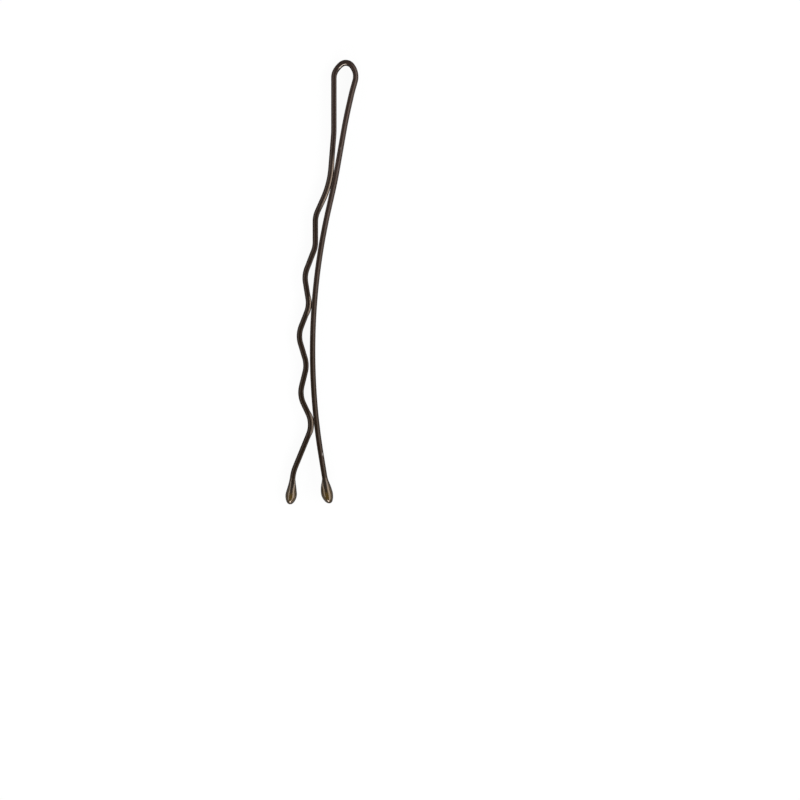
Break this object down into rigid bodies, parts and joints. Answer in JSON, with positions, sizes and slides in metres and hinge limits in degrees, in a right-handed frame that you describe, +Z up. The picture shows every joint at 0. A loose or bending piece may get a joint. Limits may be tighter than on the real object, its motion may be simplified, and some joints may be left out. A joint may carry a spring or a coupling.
{
  "type": "bobby pin",
  "caption": "Crimped hair grip of flattened lacquered spring wire: a smooth bowed leg and a crimped leg joined by a folded head, each leg ending in a dipped rounded tip.",
  "frame": {"origin": "under the middle of the whole pin, on the surface that it lies on", "axes": "the pin lies on its edge: +Y runs along it towards the head, +X from the crimped leg towards the straight leg, +Z up along the bend axis"},
  "size_m": [0.006, 0.05, 0.0016],
  "materials": {
    "lacquered_wire": "dark brown lacquer over spring steel, semi-gloss, with fine lengthwise drawing marks",
    "dipped_tip": "glossy dipped resin, olive brown"
  },
  "bodies": {
    "straight_side": {"straight_leg": "lacquered_wire", "head_bend": "lacquered_wire", "straight_leg_tip": "dipped_tip"},
    "crimped_side": {"crimped_leg": "lacquered_wire", "crimped_leg_tip": "dipped_tip"}
  },
  "joints": [
    {"name": "leg_spread", "type": "hinge", "parent": "straight_side", "child": "crimped_side", "pos_m": [-0.00058, 0.02388, 0.0008], "axis": [0, 0, -1], "range_deg": [0, 30], "stiffness_Nm_per_rad": 0.1, "springref_deg": -5.73, "deforming": ["head_bend"]}
  ]
}
